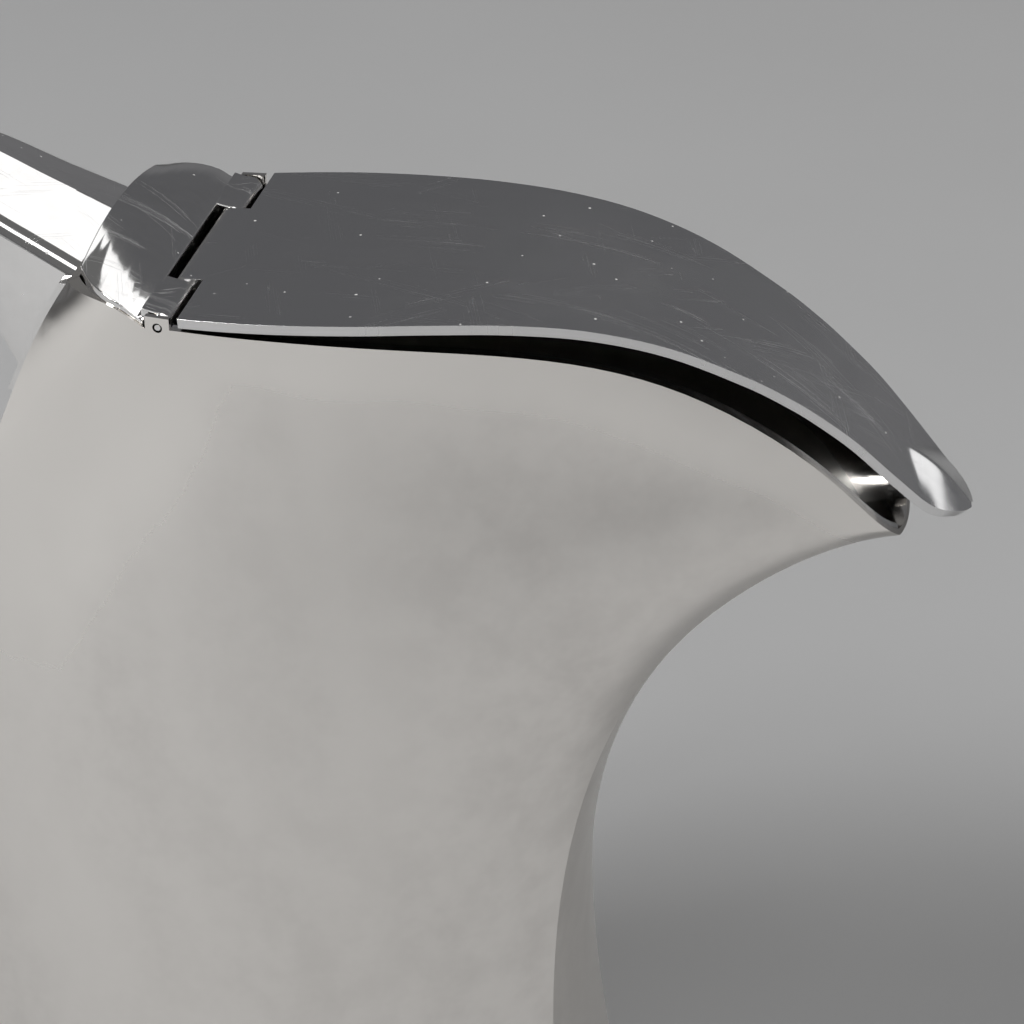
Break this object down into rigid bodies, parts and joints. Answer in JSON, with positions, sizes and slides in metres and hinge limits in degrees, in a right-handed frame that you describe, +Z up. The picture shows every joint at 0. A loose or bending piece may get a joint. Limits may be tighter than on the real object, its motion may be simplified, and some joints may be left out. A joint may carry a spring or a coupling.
{
  "type": "lidded water pitcher",
  "caption": "Tall silver water pitcher with a beaked hinged lid, a keeled body of shaped sheet and a hollow loop handle.",
  "frame": {"origin": "centre of the foot, on the surface that the pitcher stands on", "axes": "+X to the spout, +Y to the left of the person who pours, +Z up"},
  "size_m": [0.2437, 0.104, 0.2325],
  "materials": {
    "silver_hazed": "polished silver, hazed by handling and light tarnish",
    "silver_polished": "bright polished silver with fine scratches",
    "silver_brushed": "silver with fine lines along its length"
  },
  "bodies": {
    "pitcher": {"body_side_left": "silver_hazed", "body_side_right": "silver_hazed", "body_front_strip": "silver_hazed", "body_back_strip": "silver_hazed", "hinge_deck": "silver_polished", "hinge_knuckle_left": "silver_polished", "hinge_knuckle_right": "silver_polished", "hinge_pin": "silver_polished", "handle_back": "silver_polished", "handle_shell_left": "silver_polished", "handle_shell_right": "silver_polished", "handle_upper_flange": "silver_polished", "handle_lower_flange": "silver_polished", "foot_ring": "silver_polished", "base_plate": "silver_polished", "rim_band_left": "silver_polished", "rim_band_right": "silver_polished"},
    "lid": {"lid_plate": "silver_brushed", "lid_knuckle": "silver_polished"}
  },
  "joints": [
    {"name": "lid_hinge", "type": "hinge", "parent": "pitcher", "child": "lid", "pos_m": [-0.0112, 0, 0.2115], "axis": [0, -1, 0], "range_deg": [-3.2, 92]}
  ]
}
